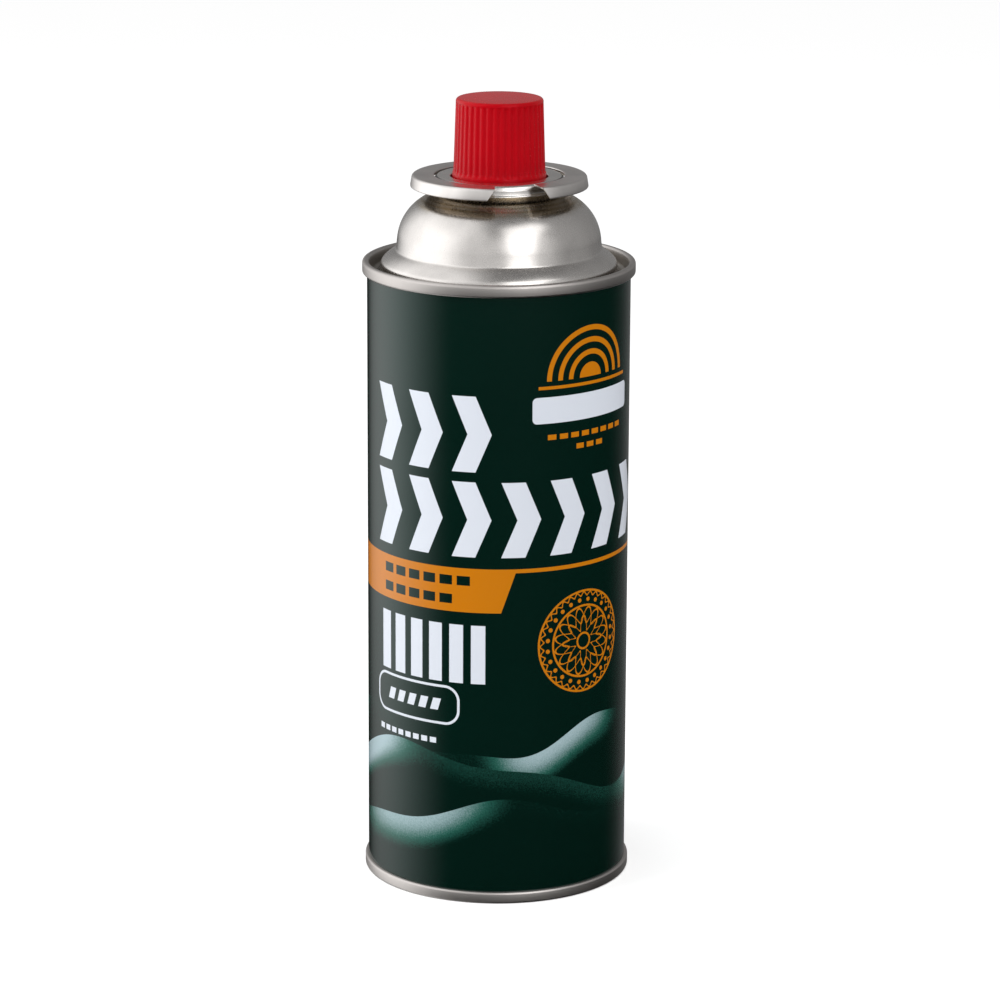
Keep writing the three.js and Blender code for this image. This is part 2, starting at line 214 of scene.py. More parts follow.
COLLAR_UNDERSIDE = RIM_CORNER_Z + math.sqrt(COLLAR_SEAT_REACH ** 2 - COLLAR_SEAT_RUN ** 2)
COLLAR_TOP = COLLAR_UNDERSIDE + COLLAR_SHEET
STEM_GASKET_BOTTOM = PEDESTAL_TOP - CUP_SHEET - TOUCH_GAP - STEM_GASKET_THICKNESS
FLANGE_TOP = STEM_GASKET_BOTTOM - TOUCH_GAP
FLANGE_BOTTOM = FLANGE_TOP - STEM_FLANGE_THICKNESS
STEM_TOP = PEDESTAL_TOP + NOZZLE_REACH
HOUSING_INNER_RADIUS = PEDESTAL_RADIUS - CUP_SHEET - TOUCH_GAP - HOUSING_WALL
HOUSING_FLOOR_TOP = STEM_GASKET_BOTTOM - TOUCH_GAP - HOUSING_DEPTH
SPRING_FOOT = HOUSING_FLOOR_TOP + TOUCH_GAP
SPRING_HEAD = FLANGE_BOTTOM - TOUCH_GAP
CAP_FOOT = CUP_FLOOR + TOUCH_GAP
CAP_TOP = CAP_FOOT + CAP_HEIGHT
CAP_FOOT_RADIUS = CUP_RECESS_RADIUS - CAP_FOOT_CLEARANCE
CAP_BASE_RADIUS = CAP_FOOT_RADIUS - CAP_FOOT_STEP
CAP_TOP_RADIUS = CAP_BASE_RADIUS - CAP_DRAFT


# Meshes

def arc(centre_r, centre_z, radius, start, end, steps):
    """Points along an arc of a profile, with angles in degrees from level outwards."""
    angles = [(start + (end - start) * i / steps) * RAD for i in range(steps + 1)]
    return [(centre_r + radius * math.cos(a), centre_z + radius * math.sin(a)) for a in angles]


def new_object(name, vertices, faces, smooth_angle=40):
    mesh = bpy.data.meshes.new(name)
    mesh.from_pydata([tuple(c * MM for c in v) for v in vertices], [], faces)
    mesh.update()
    mesh.shade_smooth()
    mesh.set_sharp_from_angle(angle=smooth_angle * RAD)
    piece = bpy.data.objects.new(name, mesh)
    bpy.context.scene.collection.objects.link(piece)
    return piece


def turned(name, profile, steps=ROUND_STEPS, closed=False, smooth_angle=40):
    """Turn a profile of (r, z) points about Z. Points on the axis become one vertex each."""
    vertices = []
    rows = []
    for r, z in profile:
        first = len(vertices)
        if r < 1e-6:
            vertices.append((0, 0, z))
            rows.append([first] * steps)
            continue
        for i in range(steps):
            angle = TAU * i / steps
            vertices.append((r * math.sin(angle), -r * math.cos(angle), z))
        rows.append(list(range(first, first + steps)))
    pairs = list(zip(rows, rows[1:]))
    if closed:
        pairs.append((rows[-1], rows[0]))
    faces = []
    for low, high in pairs:
        for i in range(steps):
            j = (i + 1) % steps
            corners = [low[i], low[j], high[j], high[i]]
            face = list(dict.fromkeys(corners))
            if len(face) > 2:
                faces.append(face)
    return new_object(name, vertices, faces, smooth_angle)


def wall_profile():
    """The lacquered wall sheet, from seam to seam, with its inner face."""
    inner = WALL_RADIUS - END_SHEET
    low = LOWER_SEAM_HEIGHT - SEAM_ROUNDING / 2
    high = WALL_HEIGHT + SEAM_ROUNDING / 2
    rise = [(WALL_RADIUS, low + (high - low) * i / 12) for i in range(13)]
    return [(inner, low)] + rise + [(inner, high)]


def base_end_profile():
    """The base end: foot ring, inner wall and inward dome, closed a sheet above."""
    ring_inner = LOWER_SEAM_RADIUS - SEAM_THICKNESS
    edge_radius = ring_inner - BASE_WALL_DRAFT
    sphere = (edge_radius ** 2 + BASE_DOME_RISE ** 2) / (2 * BASE_DOME_RISE)
    edge_angle = math.asin(edge_radius / sphere) / RAD
    sphere_z = BASE_WALL_DEPTH + BASE_DOME_RISE - sphere
    outer_r = LOWER_SEAM_RADIUS - SEAM_ROUNDING
    return [
        *arc(0, sphere_z, sphere, 90, 90 - edge_angle, 16),
        (ring_inner, SEAM_ROUNDING / 2),
        (ring_inner + SEAM_ROUNDING / 2, 0),
        *arc(outer_r, SEAM_ROUNDING, SEAM_ROUNDING, -90, 0, 6),
        *arc(outer_r, LOWER_SEAM_HEIGHT - SEAM_ROUNDING, SEAM_ROUNDING, 0, 60, 4),
        (WALL_RADIUS + HAIR, LOWER_SEAM_HEIGHT),
        (ring_inner, LOWER_SEAM_HEIGHT),
        *arc(0, sphere_z, sphere + END_SHEET, 90 - edge_angle, 90, 16),
    ]


def top_end_profile():
    """The top end: seam, countersink, skirt, dome and neck, closed a sheet below."""
    crest = SEAM_THICKNESS / 2
    seam_inner = UPPER_SEAM_RADIUS - SEAM_THICKNESS
    groove = (seam_inner - COUNTERSINK_DRAFT - SKIRT_RADIUS) / 2
    outside = [
        (WALL_RADIUS + HAIR, WALL_HEIGHT),
        *arc(UPPER_SEAM_RADIUS - SEAM_ROUNDING, WALL_HEIGHT + SEAM_ROUNDING, SEAM_ROUNDING, -60, 0, 5),
        *arc(UPPER_SEAM_RADIUS - crest, UPPER_SEAM_TOP - crest, crest, 0, 180, 14),
        *arc(SKIRT_RADIUS + groove, COUNTERSINK_FLOOR + groove, groove, 0, -180, 12),
        *arc(SKIRT_CORNER_R, SKIRT_CORNER_Z, SKIRT_CORNER_RADIUS, 0, SKIRT_CROWN_START, 8),
        *arc(CROWN_R, CROWN_Z, SKIRT_CROWN_RADIUS, SKIRT_CROWN_START, SKIRT_CROWN_END, 8)[1:],
        *arc(CREASE_R, CREASE_Z, CREASE_FILLET, 180 + SKIRT_CROWN_END, 180 + DOME_WALL_LEAN, 8)[1:],
        *arc(DOME_CENTRE_R, DOME_Z, DOME_ROUNDING, DOME_WALL_LEAN, DOME_END_ANGLE, 28),
        *arc(NECK_RADIUS + NECK_FILLET, NECK_TOP, NECK_FILLET, 180 + DOME_END_ANGLE, 180, 8),
        *arc(NECK_RADIUS - CURL_RADIUS, NECK_TOP, CURL_RADIUS, 0, 180, 12)[1:],
    ]
    inside = [
        (NECK_RADIUS - 2 * CURL_RADIUS, NECK_TOP - CURL_RADIUS),
        *arc(DOME_CENTRE_R, DOME_Z, DOME_ROUNDING - END_SHEET, DOME_END_ANGLE, 0, 16),
        (SKIRT_RADIUS - 3 * HIDDEN_INSET, SKIRT_CORNER_Z),
        (SKIRT_RADIUS, COUNTERSINK_FLOOR - END_SHEET),
        (WALL_RADIUS - HIDDEN_INSET, COUNTERSINK_FLOOR - END_SHEET),
        (WALL_RADIUS - HIDDEN_INSET, WALL_HEIGHT),
    ]
    return outside + inside


def cup_profile():
    """The valve cup's sheet: pedestal foot, recess, rolled rim, lip, and back in to the pedestal's hole."""
    recess_outer = CUP_RECESS_RADIUS + CUP_SHEET
    pedestal_inner = PEDESTAL_RADIUS - CUP_SHEET
    mouth_r = CUP_RECESS_RADIUS + CUP_CORNER_RADIUS
    mouth_z = RIM_TOP - CUP_CORNER_RADIUS
    lip_top = RIM_BOTTOM + CUP_LIP_HEIGHT
    lip_outer = CUP_RIM_RADIUS + CUP_LIP_FLARE
    bead = CUP_SHEET / 2
    hole = STEM_RADIUS + PEDESTAL_HOLE_CLEARANCE
    under = CUP_CORNER_RADIUS - CUP_SHEET
    return [
        (pedestal_inner, CUP_FLOOR - CUP_SHEET),
        (recess_outer, CUP_FLOOR - CUP_SHEET),
        *arc(mouth_r, mouth_z, under, 180, 90, 4),
        *arc(RIM_CORNER_R, RIM_CORNER_Z, CUP_RIM_ROUNDING - CUP_SHEET, 90, 0, 12),
        (CUP_RIM_RADIUS - CUP_SHEET, lip_top),
        (lip_outer - CUP_SHEET, RIM_BOTTOM + bead),
        *arc(lip_outer - bead, RIM_BOTTOM + bead, bead, 180, 400, 8)[1:],
        *arc(CUP_RIM_RADIUS + bead, lip_top + bead / 2, bead, 230, 180, 3),
        *arc(RIM_CORNER_R, RIM_CORNER_Z, CUP_RIM_ROUNDING, 0, 90, 16),
        *arc(mouth_r, mouth_z, CUP_CORNER_RADIUS, 90, 180, 8),
        (CUP_RECESS_RADIUS, CUP_FLOOR + CUP_SHEET),
        *arc(CUP_RECESS_RADIUS - CUP_SHEET, CUP_FLOOR + CUP_SHEET, CUP_SHEET, 0, -90, 5),
        *arc(PEDESTAL_RADIUS + CUP_SHEET, CUP_FLOOR + CUP_SHEET, CUP_SHEET, -90, -180, 5),
        *arc(PEDESTAL_RADIUS - CUP_CORNER_RADIUS, PEDESTAL_TOP - CUP_CORNER_RADIUS,
             CUP_CORNER_RADIUS, 0, 90, 8),
        (hole, PEDESTAL_TOP),
        (hole, PEDESTAL_TOP - CUP_SHEET),
        (pedestal_inner, PEDESTAL_TOP - CUP_SHEET),
    ]


def collar_profile():
    """The collar's flat ring and its leaning skirt, from the hole out and back."""
    corner_z = COLLAR_TOP - COLLAR_CORNER_RADIUS
    skirt_bottom = COLLAR_TOP - COLLAR_SKIRT_HEIGHT
    lean = COLLAR_SKIRT_LEAN * RAD
    skirt_top_radius = COLLAR_RADIUS - (corner_z - skirt_bottom) * math.tan(lean)
    corner_r = skirt_top_radius - COLLAR_CORNER_RADIUS / math.cos(lean)
    edge = COLLAR_SHEET / 2
    under = COLLAR_CORNER_RADIUS - COLLAR_SHEET
    hole_edge_z = COLLAR_UNDERSIDE + edge
    return [
        *arc(COLLAR_HOLE_RADIUS + edge, hole_edge_z, edge, 180, 270, 4),
        *arc(corner_r, corner_z, under, 90, COLLAR_SKIRT_LEAN, 5),
        *arc(COLLAR_RADIUS - edge, skirt_bottom + edge, edge, 180, 360 + COLLAR_SKIRT_LEAN, 8),
        *arc(corner_r, corner_z, COLLAR_CORNER_RADIUS, COLLAR_SKIRT_LEAN, 90, 10),
        *arc(COLLAR_HOLE_RADIUS + edge, hole_edge_z, edge, 90, 180, 4)[:-1],
    ]


def notch_half_angle(r, z):
    """Half the notch's angle at a point of the collar: it widens outwards and down the skirt."""
    drop = min(max((COLLAR_TOP - z) / COLLAR_SKIRT_HEIGHT, 0), 1)
    share = (r - COLLAR_HOLE_RADIUS) / (COLLAR_RADIUS - COLLAR_HOLE_RADIUS)
    width = NOTCH_INNER_WIDTH + (NOTCH_OUTER_WIDTH - NOTCH_INNER_WIDTH) * share
    flared = width * (1 + 2 * NOTCH_FLARE * drop / NOTCH_OUTER_WIDTH)
    return math.asin(flared / 2 / r)


def collar_piece():
    """The collar's section swept from one side of the notch round to the other, with closed ends."""
    profile = collar_profile()
    count = len(profile)
    vertices = []
    for i in range(ROUND_STEPS + 1):
        for r, z in profile:
            start = notch_half_angle(r, z)
            angle = start + (TAU - 2 * start) * i / ROUND_STEPS
            vertices.append((r * math.sin(angle), -r * math.cos(angle), z))
    faces = []
    for i in range(ROUND_STEPS):
        for k in range(count):
            n = (k + 1) % count
            here = i * count
            there = here + count
            faces.append([here + k, there + k, there + n, here + n])
    faces.append(list(range(count)))
    faces.append([ROUND_STEPS * count + k for k in reversed(range(count))])
    return new_object("collar_ring", vertices, faces)


def stem_profile():
    """The nozzle: spring tail, flange, tube and open bore."""
    bore_bottom = STEM_GASKET_BOTTOM + STEM_GASKET_THICKNESS / 2 - STEM_BORE_RADIUS
    chamfer_r = STEM_RADIUS - NOZZLE_CHAMFER
    return [
        (0, FLANGE_BOTTOM - STEM_TAIL_LENGTH),
        (STEM_TAIL_RADIUS, FLANGE_BOTTOM - STEM_TAIL_LENGTH),
        (STEM_TAIL_RADIUS, FLANGE_BOTTOM),
        (STEM_FLANGE_RADIUS, FLANGE_BOTTOM),
        (STEM_FLANGE_RADIUS, FLANGE_TOP),
        (STEM_RADIUS, FLANGE_TOP),
        (STEM_RADIUS, STEM_TOP - NOZZLE_CHAMFER),
        *arc(chamfer_r, STEM_TOP - NOZZLE_CHAMFER, NOZZLE_CHAMFER, 0, 90, 6)[1:],
        (STEM_BORE_RADIUS, STEM_TOP),
        (STEM_BORE_RADIUS, bore_bottom),
        (0, bore_bottom),
    ]


def spring_piece():
    """A coil of round wire with square-cut ends."""
    coil_radius = (STEM_TAIL_RADIUS + HOUSING_INNER_RADIUS) / 2
    low = SPRING_FOOT + SPRING_WIRE_RADIUS
    high = SPRING_HEAD - SPRING_WIRE_RADIUS
    steps = SPRING_TURNS * 32
    sides = 12
    slope = (high - low) / (TAU * SPRING_TURNS)
    vertices = []
    for i in range(steps + 1):
        turn = TAU * SPRING_TURNS * i / steps
        outward = Vector((math.cos(turn), math.sin(turn), 0))
        along = Vector((-math.sin(turn) * coil_radius, math.cos(turn) * coil_radius, slope)).normalized()
        upward = outward.cross(along)
        centre = outward * coil_radius + Vector((0, 0, low + (high - low) * i / steps))
        for k in range(sides):
            side = TAU * k / sides
            reach = outward * math.cos(side) + upward * math.sin(side)
            vertices.append(centre + reach * SPRING_WIRE_RADIUS)
    faces = [list(range(sides))]
    for i in range(steps):
        for k in range(sides):
            n = (k + 1) % sides
            here = i * sides
            there = here + sides
            faces.append([here + k, there + k, there + n, here + n])
    faces.append([steps * sides + k for k in reversed(range(sides))])
    return new_object("coil_spring", vertices, faces)


def flute_share(z):
    """How much of a flute's depth is cut at a height: none at the foot and near the top edge."""
    low = CAP_FOOT + CAP_FOOT_HEIGHT
    high = CAP_TOP - CAP_EDGE_RADIUS
    fade = min((z - low) / FLUTE_FOOT_FADE, (high - z) / FLUTE_TOP_FADE)
    share = max(0.0, min(1.0, fade))
    return share * share * (3 - 2 * share)


def cap_profile():
    """Inner ceiling to foot, then the outer wall up to the top, as (r, z) points."""
    foot_top = CAP_FOOT + CAP_FOOT_HEIGHT
    wall_top = CAP_TOP - CAP_EDGE_RADIUS
    ceiling = CAP_TOP - CAP_TOP_THICKNESS
    wall_foot = foot_top + FLUTE_FOOT_FADE
    fluted_top = wall_top - FLUTE_TOP_FADE
    inner_top = CAP_TOP_RADIUS - CAP_WALL
    fillet = CAP_EDGE_RADIUS / 2
    foot_edge = CAP_WALL / 4
    heights = [foot_top + FLUTE_FOOT_FADE * i / 6 for i in range(1, 6)]
    heights += [wall_foot + (fluted_top - wall_foot) * i / 12 for i in range(13)]
    heights += [fluted_top + FLUTE_TOP_FADE * i / 4 for i in range(1, 4)]
    wall = []
    for z in heights:
        plain = CAP_TOP_RADIUS + CAP_DRAFT * (wall_top - z) / (wall_top - wall_foot)
        share = min(max((z - foot_top) / FLUTE_FOOT_FADE, 0), 1)
        ease = share * share * (3 - 2 * share)
        wall.append((CAP_FOOT_RADIUS + (plain - CAP_FOOT_RADIUS) * ease, z))
    return [
        (0, ceiling),
        (inner_top - fillet, ceiling),
        *arc(inner_top - fillet, ceiling - fillet, fillet, 90, 0, 5)[1:],
        (CAP_FOOT_RADIUS - CAP_WALL, CAP_FOOT),
        (CAP_FOOT_RADIUS - foot_edge, CAP_FOOT),
        *arc(CAP_FOOT_RADIUS - foot_edge, CAP_FOOT + foot_edge, foot_edge, -90, 0, 4)[1:],
        (CAP_FOOT_RADIUS, foot_top),
        *wall,
        *arc(CAP_TOP_RADIUS - CAP_EDGE_RADIUS, wall_top, CAP_EDGE_RADIUS, 0, 90, 10),
        (CAP_TOP_RADIUS * 0.5, CAP_TOP),
        (0, CAP_TOP),
    ]


def cap_piece():
    """The turned cap with upright flutes pressed into its outer wall."""
    piece = turned("cap_shell", cap_profile(), FLUTE_COUNT * POINTS_PER_FLUTE, smooth_angle=50)
    for vertex in piece.data.vertices:
        x, y, z = vertex.co / MM
        radius = math.hypot(x, y)
        if radius < CAP_TOP_RADIUS - CAP_WALL / 2:
            continue
        phase = 0.5 - 0.5 * math.cos(math.atan2(y, x) * FLUTE_COUNT)
        cut = FLUTE_DEPTH * flute_share(z) * phase ** 1.6
        vertex.co.x = x * (1 - cut / radius) * MM
        vertex.co.y = y * (1 - cut / radius) * MM
    piece.data.update()
    return piece


# Material nodes, written as expressions

class Wire:
    """A node's output that can be reckoned with as a number."""

    def __init__(self, tree, socket):
        self.tree = tree
        self.socket = socket

    def math(self, operation, *others, clamp=False):
        node = self.tree.nodes.new("ShaderNodeMath")
        node.operation = operation
        node.use_clamp = clamp
        for index, value in enumerate((self, *others)):
            if isinstance(value, Wire):
                self.tree.links.new(value.socket, node.inputs[index])
            else:
                node.inputs[index].default_value = value
        return Wire(self.tree, node.outputs[0])

    def __add__(self, other):
        return self.math("ADD", other)

    def __sub__(self, other):
        return self.math("SUBTRACT", other)

    def __mul__(self, other):
        return self.math("MULTIPLY", other)

    def __truediv__(self, other):
        return self.math("DIVIDE", other)

    def __neg__(self):
        return self.math("MULTIPLY", -1.0)

    def __abs__(self):
        return self.math("ABSOLUTE")

    def sin(self):
        return self.math("SINE")

    def cos(self):
        return self.math("COSINE")

    def least(self, other):
        return self.math("MINIMUM", other)

    def most(self, other):
        return self.math("MAXIMUM", other)

    def wrap(self, period):
        """The remainder, from 0 up to the period."""
        return self.math("WRAP", period, 0.0)

    def inside(self, softness=0.06):
        """1 where a distance is negative, 0 where it is positive, with a thin soft edge."""
        return (self / -softness + 0.5).math("ADD", 0.0, clamp=True)

    def ramp(self, low, high, to_low=0.0, to_high=1.0):
        node = self.tree.nodes.new("ShaderNodeMapRange")
        node.interpolation_type = "SMOOTHSTEP"
        self.tree.links.new(self.socket, node.inputs["Value"])
        node.inputs["From Min"].default_value = low
        node.inputs["From Max"].default_value = high
        node.inputs["To Min"].default_value = to_low
        node.inputs["To Max"].default_value = to_high
        return Wire(self.tree, node.outputs["Result"])


def hypot(a, b):
    return (a * a + b * b).math("SQRT")


def union(wires):
    total = wires[0]
    for wire in wires[1:]:
        total = total.most(wire)
    return total


def material(name):
    made = bpy.data.materials.new(name)
    made.use_nodes = True
    return made, made.node_tree, made.node_tree.nodes["Principled BSDF"]


def object_coordinates(tree):
    node = tree.nodes.new("ShaderNodeTexCoord")
    return node.outputs["Object"]


def millimetres(tree):
    """The object's x, y and z in millimetres."""
    separate = tree.nodes.new("ShaderNodeSeparateXYZ")
    tree.links.new(object_coordinates(tree), separate.inputs[0])
    return [Wire(tree, out) * (1 / MM) for out in separate.outputs]


def noise(tree, scale, detail=3.0, roughness=0.5, stretch=None):
    """A noise value over the object, with an optional stretch of its coordinates."""
    source = object_coordinates(tree)
    if stretch:
        mapping = tree.nodes.new("ShaderNodeMapping")
        mapping.inputs["Scale"].default_value = stretch
        tree.links.new(source, mapping.inputs["Vector"])
        source = mapping.outputs["Vector"]
    node = tree.nodes.new("ShaderNodeTexNoise")
    node.inputs["Scale"].default_value = scale
    node.inputs["Detail"].default_value = detail
    node.inputs["Roughness"].default_value = roughness
    tree.links.new(source, node.inputs["Vector"])
    return Wire(tree, node.outputs["Fac"])


def mix(tree, share, first, second):
    """A colour between two, each a colour tuple or a socket."""
    node = tree.nodes.new("ShaderNodeMix")
    node.data_type = "RGBA"
    tree.links.new(share.socket, node.inputs["Factor"])
    for name, value in (("A", first), ("B", second)):
        socket = [s for s in node.inputs if s.name == name and s.type == "RGBA"][0]
        if isinstance(value, tuple):
            socket.default_value = (*value, 1.0)
        else:
            tree.links.new(value, socket)
    return [s for s in node.outputs if s.type == "RGBA"][0]


def bump(tree, shader, height, strength, distance):
    node = tree.nodes.new("ShaderNodeBump")
    node.inputs["Strength"].default_value = strength
    node.inputs["Distance"].default_value = distance
    tree.links.new(height.socket, node.inputs["Height"])
    tree.links.new(node.outputs["Normal"], shader.inputs["Normal"])


def tinplate(name, tone=BARE_TIN, rough=0.24, grain=1.0):
    """Bare tinplate: satin metal with a fine crystalline grain and faint handling marks."""
    made, tree, shader = material(name)
    shader.inputs["Metallic"].default_value = 1.0
    fine = noise(tree, 2600, 2.0, 0.6)
    cloud = noise(tree, 90, 4.0, 0.6)
    scuffs = noise(tree, 700, 5.0, 0.75, stretch=(1, 1, 0.35))
    dull = tuple(c * 0.86 for c in tone)
    colour = mix(tree, cloud.ramp(0.35, 0.7), tone, dull)
    tree.links.new(colour, shader.inputs["Base Color"])
    roughness = fine * (0.10 * grain) + scuffs * 0.10 + (rough - 0.08)
    tree.links.new(roughness.socket, shader.inputs["Roughness"])
    bump(tree, shader, fine * 0.7 + scuffs * 0.3, 0.09 * grain, 0.00002)
    return made


def end_tinplate():
    """Tinplate of the ends: duller seams, painted shade in the countersink and brown painted shade at the
    neck.
    """
    made = tinplate("end_tinplate")
    tree = made.node_tree
    shader = tree.nodes["Principled BSDF"]
    x, y, height = millimetres(tree)
    radius = hypot(x, y)
    patches = noise(tree, 160, 4.0, 0.6)
    upper_end = height.ramp(140.0, 145.0)
    on_dome = height.ramp(160.0, 165.0)
    # Painted shade round the neck, where the collar shades it, tinted brown, with faint rings
    neck = (radius - patches * 2.0).ramp(NECK_RADIUS + 5.4, NECK_RADIUS + 3.2) * on_dome
    neck = neck * ((radius * 5.0).sin() * 0.16 + 0.84)
    # Painted shade in the countersink groove, between the skirt and the seam
    groove = radius.ramp(SKIRT_RADIUS - 0.3, SKIRT_RADIUS + 0.6)
    groove = groove * radius.ramp(WALL_RADIUS, WALL_RADIUS - 0.6)
    groove = groove * height.ramp(UPPER_SEAM_TOP - 0.2, UPPER_SEAM_TOP - 1.4) * upper_end
    seam = radius.ramp(SKIRT_RADIUS + 1, WALL_RADIUS - 1)
    plain = mix(tree, seam, shader.inputs["Base Color"].links[0].from_socket, SEAM_DULL)
    neck_shaded = mix(tree, neck, plain, NECK_PAINTED_SHADE)
    groove_shaded = mix(tree, groove * 0.75, neck_shaded, GROOVE_PAINTED_SHADE)
    tree.links.new(groove_shaded, shader.inputs["Base Color"])
    satin = Wire(tree, shader.inputs["Roughness"].links[0].from_socket)
    tree.links.new((satin + seam * 0.13).socket, shader.inputs["Roughness"])
    return made


def cup_tinplate():
    """Tinplate of the valve cup, with painted shade where its rim's rounding runs under the collar's edge.
    """
    made = tinplate("cup_tinplate", tone=CUP_TIN, grain=0.7)
    tree = made.node_tree
    shader = tree.nodes["Principled BSDF"]
    x, y, z = millimetres(tree)
    # Painted shade in the gap under the collar's edge, all round the rim except at the notch in front
    gap_shade = hypot(x, y).ramp(CUP_RIM_RADIUS - 1.0, CUP_RIM_RADIUS - 0.7)
    gap_shade = gap_shade * z.ramp(RIM_CORNER_Z, RIM_CORNER_Z + 0.4) * y.ramp(-14.5, -12.0)
    clean = shader.inputs["Base Color"].links[0].from_socket
    tree.links.new(mix(tree, gap_shade, clean, RIM_PAINTED_SHADE), shader.inputs["Base Color"])
    return made


def plastic(name, colour, deep, rough, pit_scale, pit_depth, specular=0.5, tint=(1, 1, 1)):
    """Moulded plastic: finely pitted, with a little unevenness of tone."""
    made, tree, shader = material(name)
    pits = noise(tree, pit_scale, 3.0, 0.65)
    cloud = noise(tree, 60, 3.0, 0.5)
    tree.links.new(mix(tree, cloud.ramp(0.3, 0.75), colour, deep), shader.inputs["Base Color"])
    tree.links.new((pits * 0.22 + (rough - 0.11)).socket, shader.inputs["Roughness"])
    shader.inputs["Specular IOR Level"].default_value = specular
    shader.inputs["Specular Tint"].default_value = (*tint, 1.0)
    bump(tree, shader, pits, 0.5, pit_depth)
    return made


def rubber():
    """Matte black rubber with worn specks."""
    made, tree, shader = material("seal_rubber")
    speck = noise(tree, 1500, 3.0)
    colour = mix(tree, speck, RUBBER_BLACK, RUBBER_WORN)
    tree.links.new(colour, shader.inputs["Base Color"])
    tree.links.new((speck * 0.2 + 0.6).socket, shader.inputs["Roughness"])
    bump(tree, shader, speck, 0.4, 0.00003)
    return made


# Print, in millimetres on the unrolled wall: s runs right from the side weld, with 0 at the notch, and
# v is the height

FACING_S = VIEW_AZIMUTH * WALL_RADIUS
ROUND = TAU * WALL_RADIUS


def front(degrees):
    """Place round the wall of something seen at an angle right of the photograph's camera."""
    return FACING_S + degrees * RAD * WALL_RADIUS


WELD_S = front(-140)
LEFT_S = front(-62)
BAND_S = front(5)
BAND_V = 81.0
EMBLEM_S = front(43.5)
EMBLEM_V = 133.4
SEAL_S = front(40.7)
SEAL_V = 66.3
PANEL_S = front(148)
PANEL_V = 118.0
ARROW_PITCH = 12.4
ARROW_STROKE = 6.0
ARROW_HEIGHT = 19.0
ARROW_LEAN = 0.42
MARGIN_HALF_WIDTH = 2.4
WELD_HALF_WIDTH = 0.7


class Label:
    """Signed distances of the print's simple shapes, negative inside."""

    def __init__(self, tree):
        x, y, self.v = millimetres(tree)
        self.s = (x.math("ARCTAN2", -y) * WALL_RADIUS - WELD_S).wrap(ROUND) + WELD_S

    def across(self, s, v):
        return self.s - s, self.v - v

    def box(self, s, v, width, height, corner=0.0):
        ds, dv = self.across(s, v)
        ds = abs(ds) - (width / 2 - corner)
        dv = abs(dv) - (height / 2 - corner)
        if not corner:
            return ds.most(dv)
        outside = hypot(ds.most(0.0), dv.most(0.0))
        return outside + ds.most(dv).least(0.0) - corner

    def disc(self, s, v, radius):
        return hypot(*self.across(s, v)) - radius

    def row(self, s, v, pitch, count, width, height, slant=0.0):
        """Equal bars in a row, from s rightwards."""
        ds, dv = self.across(s, v)
        if slant:
            ds = ds - dv * slant
        cell = abs(ds.wrap(pitch) - pitch / 2) - width / 2
        span = abs(ds - pitch * count / 2) - pitch * count / 2
        return cell.most(abs(dv) - height / 2).most(span)

    def arrowheads(self, s, v, count):
        """Bold arrowheads in a row that point right."""
        ds, dv = self.across(s, v)
        ds = ds + abs(dv) * ARROW_LEAN
        half_span = ARROW_PITCH * count / 2
        cell = abs(ds.wrap(ARROW_PITCH) - ARROW_PITCH / 2) - ARROW_STROKE / 2
        span = abs(ds - half_span) - half_span
        return cell.most(abs(dv) - ARROW_HEIGHT / 2).most(span)

    def ring(self, s, v, radius, stroke):
        return abs(self.disc(s, v, radius)) - stroke / 2


def white_print(label):
    """Two rows of arrowheads, a plate under the emblem, upright bars, a small frame and rows of dashes."""
    parts = [
        label.arrowheads(LEFT_S, 120.5, 3),
        label.arrowheads(LEFT_S, 99.0, 7),
        label.box(EMBLEM_S, 126.2, 33.0, 6.6, corner=1.2),
        label.row(LEFT_S, 64.6, 5.6, 6, 3.6, 15.0),
        abs(label.box(front(-40.5), 51.0, 27.0, 9.6, corner=3.6)) - 0.32,
        label.row(front(-56), 51.0, 3.6, 5, 2.2, 3.0, slant=0.3),
        label.row(front(-63), 41.5, 2.6, 8, 1.8, 1.4),
    ]
    return union([part.inside() for part in parts])


def orange_print(label):
    """A band with a slanted end and a line on from it, an emblem of arcs over a horizon, and a rosette."""
    ds, dv = label.across(BAND_S, BAND_V)
    slanted_end = (ds - dv * 0.35).most(-(ds + 62.0))
    band = slanted_end.most(abs(dv) - 5.6)
    line = (abs(label.v - 86.1) - 0.5).most(-ds)
    dashes = [
        label.row(front(-59), 83.4, 4.6, 6, 3.4, 2.4),
        label.row(front(-59), 78.6, 4.6, 5, 3.4, 2.4),
    ]
    above = -(label.v - EMBLEM_V)
    arcs = [label.ring(EMBLEM_S, EMBLEM_V, radius, 1.3).most(above) for radius in (6.2, 9.2, 12.2)]
    core = label.disc(EMBLEM_S, EMBLEM_V, 3.6).most(above)
    horizon = label.box(EMBLEM_S, EMBLEM_V - 1.6, 30.0, 0.8)
    thin_row = label.row(EMBLEM_S - 13.0, 119.4, 3.25, 8, 2.3, 1.3)
    short_row = label.row(EMBLEM_S - 4.9, 116.4, 3.25, 3, 2.3, 1.3)
    solid = union([part.inside() for part in (band, line, core, horizon, thin_row, short_row, *arcs)])
    cut = union([part.inside() for part in dashes])
    return (solid - cut).most(seal_print(label))


